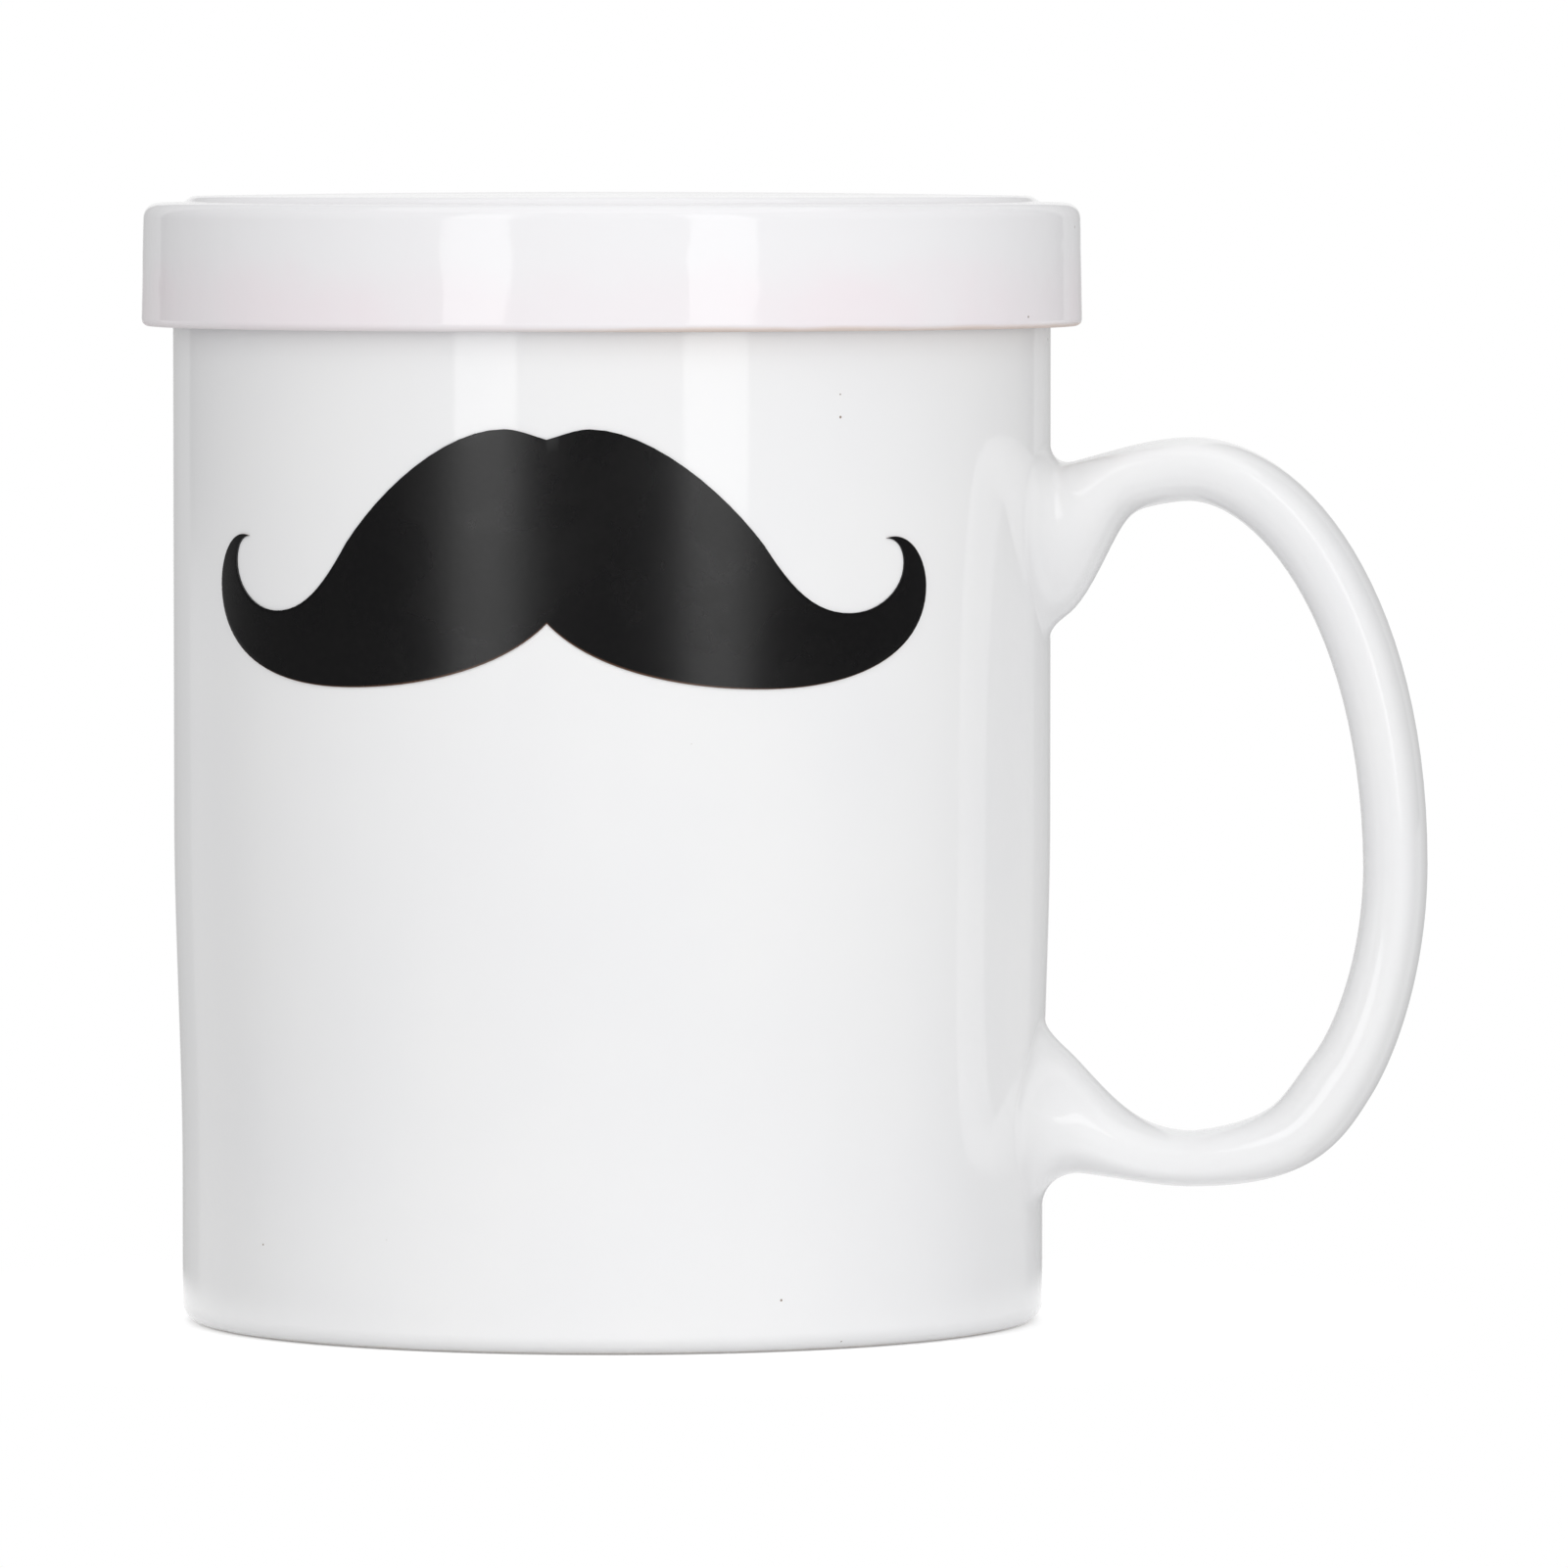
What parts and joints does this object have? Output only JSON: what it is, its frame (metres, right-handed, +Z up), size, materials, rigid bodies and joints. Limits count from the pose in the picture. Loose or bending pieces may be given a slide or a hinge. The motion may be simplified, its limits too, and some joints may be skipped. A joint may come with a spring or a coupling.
{
  "type": "lidded mug",
  "caption": "Straight-sided glazed ceramic mug with a loop handle, a skirted cap lid that lifts off, and a black mustache print on its front.",
  "frame": {"origin": "centre of the foot ring, on the surface that the cup stands on", "axes": "+Z up along the axis of the cup, +X towards the handle, -Y towards the mustache print"},
  "size_m": [0.1173, 0.0856, 0.1028],
  "materials": {
    "cup_glaze": "glossy white glaze",
    "lid_glaze": "glossy white glaze with a faint warm tint",
    "black_transfer": "satin black fired transfer"
  },
  "bodies": {
    "cup": {"cup": "cup_glaze", "handle": "cup_glaze", "upper_joint_slip": "cup_glaze", "lower_joint_slip": "cup_glaze", "mustache_transfer": "black_transfer"},
    "lid": {"lid": "lid_glaze"}
  },
  "joints": [
    {"name": "lid_lift", "type": "slide", "parent": "cup", "child": "lid", "axis": [0, 0, 1], "range_m": [0, 0.06]}
  ]
}
